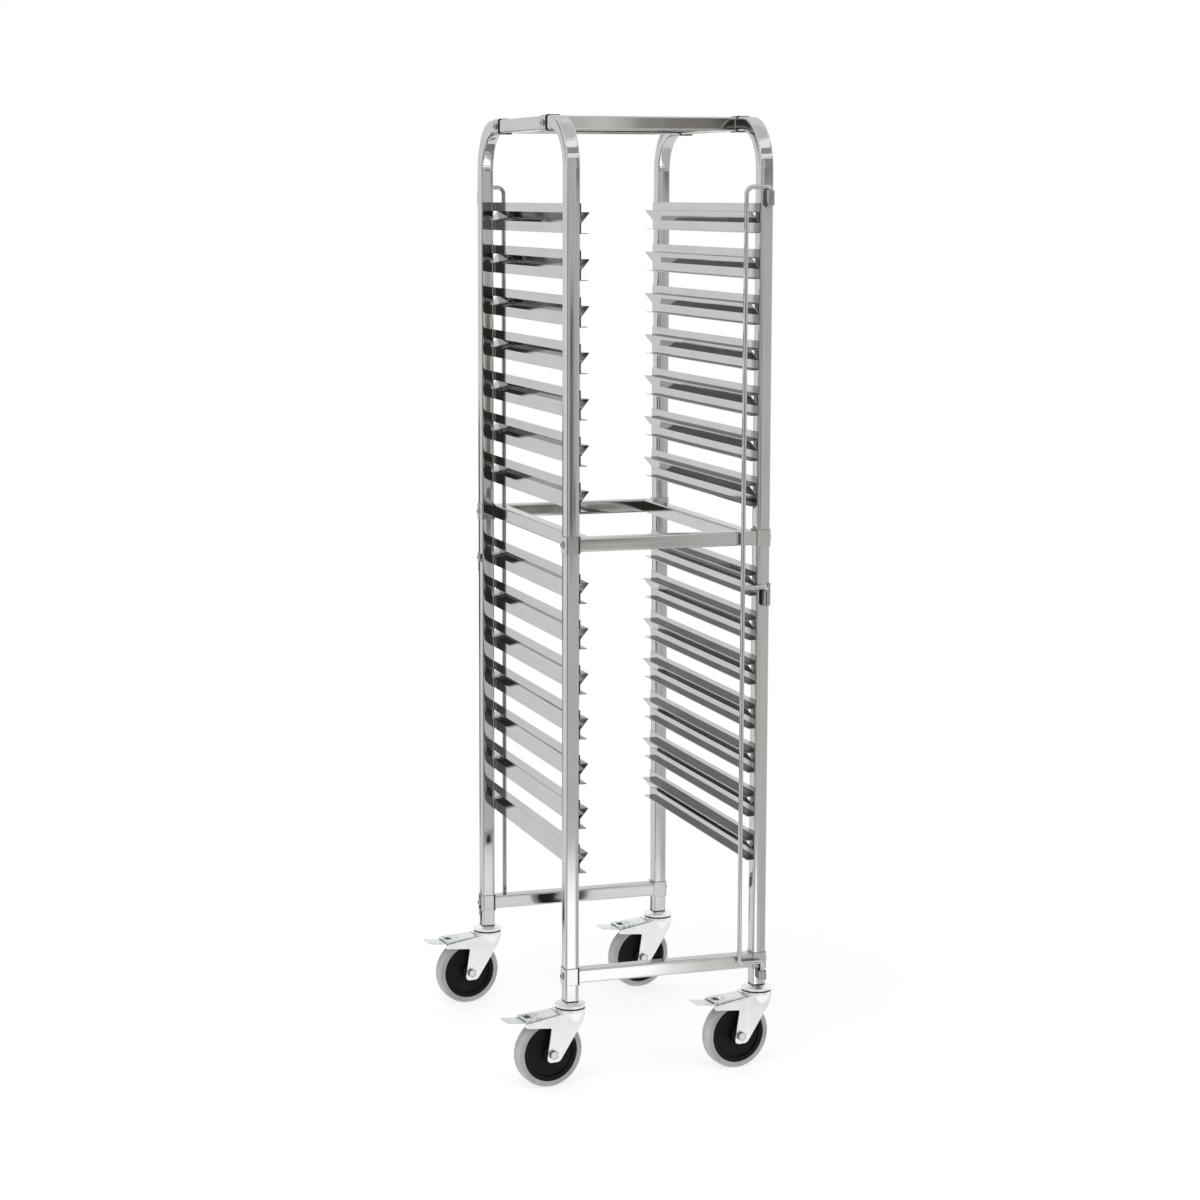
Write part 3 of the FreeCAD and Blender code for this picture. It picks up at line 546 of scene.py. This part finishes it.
def core_plastic():
    """Black plastic with raised rings ring_pitch apart, a sine of the radius, and dust lying between them."""
    material, shader, place = start_finish("core_plastic")
    rings = (off_axle(place) * (2 * math.pi / ring_pitch)).maths("SINE").step(0.2, 0.8)
    grain = place.noise(mould_grain, 2.0)
    clouds = place.noise(mould_clouds, 3.0)
    dust = clouds.step(0.45, 0.75) * (1 - rings)
    end_finish(shader, {
        "Base Color": dust.blend((0.004, 0.004, 0.004, 1), (0.013, 0.013, 0.013, 1)),
        "Specular IOR Level": 0.15,
        "Roughness": 0.5 + 0.2 * dust,
        "Normal": (grain * 0.00003 + rings * ring_height).bump(),
    })
    return material


def grey_tread():
    """Grey rubber: a thin parting ridge round the middle, darker scuffs, and shoulders painted darker as painted
    shade.
    """
    material, shader, place = start_finish("tread_rubber")
    along = wheel_axes(place)[1]
    parting = along.between(-parting_half, parting_half, parting_half)
    shoulder_shade = abs(along).step(shoulder_start, shoulder_end)
    grain = place.noise(1500.0, 2.0)
    clouds = place.noise(30.0, 4.0)
    scuffs = place.noise(120.0, 3.0).step(0.60, 0.72)
    colour = clouds.step(0.3, 0.7).blend((0.36, 0.365, 0.37, 1), (0.48, 0.48, 0.48, 1))
    # The shoulders are painted darker, as painted shade.
    colour = (shoulder_shade * 0.5).blend(colour, (0.20, 0.20, 0.20, 1))
    end_finish(shader, {
        "Base Color": (scuffs * 0.35).blend(colour, (0.16, 0.16, 0.16, 1)),
        "Roughness": 0.55 + 0.2 * clouds,
        "Normal": (grain * 0.00005 + parting * parting_height).bump(),
    })
    return material


dress(grey_tread(), *[f"{corner}_tyre" for corner in corners])
dress(core_plastic(), *[f"{corner}_wheel_core" for corner in corners])

# The studio: a pale floor that fades into a white surround, soft light from above, and the plain room of
# light and dark parts round the trolley that its bright tubes mirror.
floor_radius = 0.95
floor_solid = 0.42
floor_glow = 0.68
angle = np.linspace(0, 2 * np.pi, 97)[:-1]
ring = np.stack([np.cos(angle), np.sin(angle), 0 * angle], 1) * floor_radius
sheet = bpy.data.meshes.new("floor")
sheet.from_pydata(ring.tolist(), [], [list(range(len(ring)))])
floor = bpy.data.objects.new("floor", sheet)
bpy.context.scene.collection.objects.link(floor)
material, shader, place = start_finish("floor_paint")
x, y, _ = place.axes()
reach = (x * x + y * y).maths("SQRT")
end_finish(shader, {
    "Base Color": (0.35, 0.35, 0.35, 1),
    "Roughness": 0.9,
    "Specular IOR Level": 0.0,
    "Emission Color": (1, 1, 1, 1),
    "Emission Strength": floor_glow,
    "Alpha": reach.step(floor_radius, floor_solid),
})
sheet.materials.append(material)

world = bpy.data.worlds.new("studio")
bpy.context.scene.world = world
world.use_nodes = True
tree = world.node_tree
sky = Wire(tree, tree.nodes.new("ShaderNodeTexCoord").outputs["Generated"])
x, y, z = sky.axes()
turn = x.maths("ARCTAN2", 0 - y)
level = z.maths("ARCSINE")
facing = turn.between(-1.2, 1.3, 0.3)


def patch(turns, levels):
    """A part of the room between two turns from the front and two levels, each as start, end and blur."""
    return turn.between(*turns) * level.between(*levels)


plinth_tone = level.step(-0.18, -0.155).blend((0.42, 0.42, 0.41, 1), (0.05, 0.05, 0.048, 1))
room_parts = {
    "front wall": (facing * level.step(0.8, 0.4), (0.66, 0.66, 0.635, 1)),
    "ceiling": (level.step(1.02, 1.12), (0.78, 0.78, 0.77, 1)),
    "gap between lamps": (facing * level.between(0.55, 0.76, 0.02), (0.42, 0.42, 0.41, 1)),
    "lamps": (facing * (level.between(0.42, 0.53, 0.015) + level.between(0.79, 1.02, 0.02)),
              (1.3, 1.3, 1.28, 1)),
    "near floor": (turn.step(0.0, 0.1) * turn.step(0.39, 0.345) * level.step(-0.275, -0.285),
                   (1.15, 1.15, 1.13, 1)),
    "pale floor": (turn.between(0.0, 0.352, 0.004) * level.step(-0.235, -0.265), (1.75, 1.75, 1.73, 1)),
    "left floor": (turn.between(-2.95, -2.75, 0.02) * level.step(-0.275, -0.29), (1.6, 1.6, 1.58, 1)),
    "far wall": (patch((-2.805, -2.6, 0.008), (0.020, 0.28, 0.004)), (0.42, 0.42, 0.41, 1)),
    "rail": (patch((-3.13, -2.92, 0.01), (0.365, 0.42, 0.008)), (0.06, 0.06, 0.058, 1)),
    "plinth": (patch((-3.05, -2.863, 0.003), (-0.235, -0.08, 0.01)), plinth_tone),
    "kerb": (patch((-2.90, -2.79, 0.01), (-0.271, -0.259, 0.003)), (0.03, 0.03, 0.03, 1)),
    "pillar": (patch((0.343, 0.362, 0.004), (-0.22, 0.0, 0.02)), (0.55, 0.55, 0.53, 1)),
    "door": (patch((0.322, 0.338, 0.001), (0.004, 0.085, 0.004)), (0.86, 0.85, 0.83, 1)),
    "stool": (patch((0.318, 0.343, 0.003), (-0.123, -0.106, 0.003)), (0.23, 0.23, 0.22, 1)),
    "shelf": (patch((0.372, 0.9, 0.006), (0.0, 0.38, 0.01)), (0.36, 0.35, 0.34, 1)),
    "cupboard": (patch((0.3375, 1.0, 0.001), (0.004, 0.085, 0.004)), (0.29, 0.275, 0.25, 1)),
    "cupboard's corner": (patch((0.3705, 0.383, 0.002), (0.004, 0.085, 0.004)), (0.07, 0.07, 0.068, 1)),
    "doorway": (patch((0.265, 0.317, 0.015), (-0.132, -0.035, 0.016)), (0.17, 0.17, 0.15, 1)),
    "dim left wall": (turn.between(-0.535, -0.09, 0.07) * level.step(-0.36, -0.14) * level.step(0.02, -0.02),
                      (0.05, 0.05, 0.042, 1)),
    "left shelf": (patch((-0.40, -0.03, 0.01), (0.20, 0.32, 0.01)), (0.05, 0.05, 0.045, 1)),
    "left beam": (patch((-0.405, -0.35, 0.01), (0.012, 0.10, 0.006)), (0.05, 0.05, 0.045, 1)),
}
room = (1.0, 1.0, 1.0, 1)
for where, colour in room_parts.values():
    room = where.blend(room, colour)
path = tree.nodes.new("ShaderNodeLightPath")
camera_ray = Wire(tree, path.outputs["Is Camera Ray"])
mirror_ray = Wire(tree, path.outputs["Is Glossy Ray"])
through_ray = Wire(tree, path.outputs["Is Transmission Ray"])
light = mirror_ray.maths("MAXIMUM", through_ray).blend((0.9, 0.9, 0.9, 1), room)
light = camera_ray.blend(light, (1, 1, 1, 1))
tree.links.new(light.socket, tree.nodes["Background"].inputs["Color"])

lamp_data = bpy.data.lights.new("soft_box", "AREA")
lamp_data.energy = 25
lamp_data.size = 1.6
lamp = bpy.data.objects.new("soft_box", lamp_data)
lamp.location = (-1.2, -1.4, 3.0)
lamp.rotation_euler = (0.48, -0.36, 0)
lamp.visible_glossy = False
bpy.context.scene.collection.objects.link(lamp)

camera_dip = 0.124587
camera_turn = 0.303795
camera_data = bpy.data.cameras.new("camera")
camera_data.sensor_width = 36
camera_data.lens = 80.412
camera_data.shift_x = 0.050048
camera_data.shift_y = -0.058443
camera = bpy.data.objects.new("camera", camera_data)
camera.location = (-1.609940, -4.652048, 1.568833)
camera.rotation_euler = (math.pi / 2 - camera_dip, 0, -camera_turn)
bpy.context.scene.collection.objects.link(camera)
bpy.context.scene.camera = camera
bpy.context.scene.view_settings.view_transform = "Standard"
